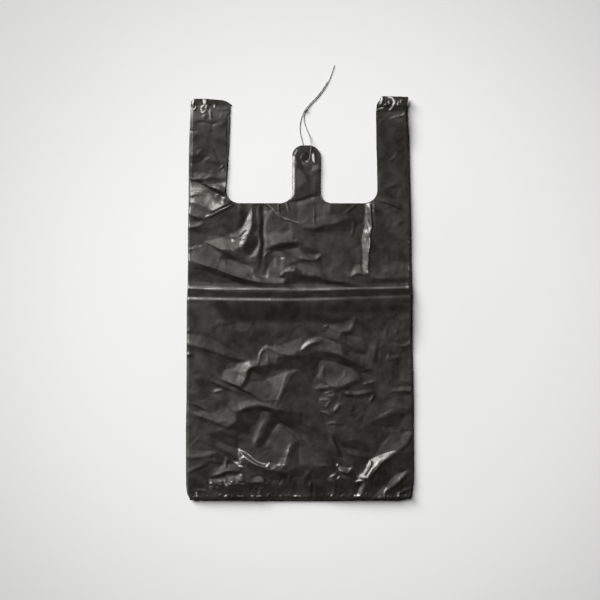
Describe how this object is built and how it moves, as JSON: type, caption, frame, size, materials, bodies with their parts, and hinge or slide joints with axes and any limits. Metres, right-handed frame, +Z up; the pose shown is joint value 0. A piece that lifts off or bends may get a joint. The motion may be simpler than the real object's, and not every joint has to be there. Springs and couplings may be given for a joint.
{
  "type": "plastic carrier bag",
  "caption": "Black film carrier bag lying flat, with gusseted sides, loop handles, a centre tab with a hanging hole, and a tie string.",
  "frame": {"origin": "under the middle of the bag without its string, on the surface that it lies on", "axes": "+X across the bag to its right side, +Y from the bottom weld to the handles, +Z up out of the front panel"},
  "size_m": [0.254, 0.4894, 0.0048],
  "materials": {
    "black_film": "thin wrinkled black polyethylene film, half gloss",
    "grey_twine": "fine twisted grey thread"
  },
  "bodies": {
    "root": {"bag_film": "black_film", "tie_string": "grey_twine"}
  },
  "joints": []
}
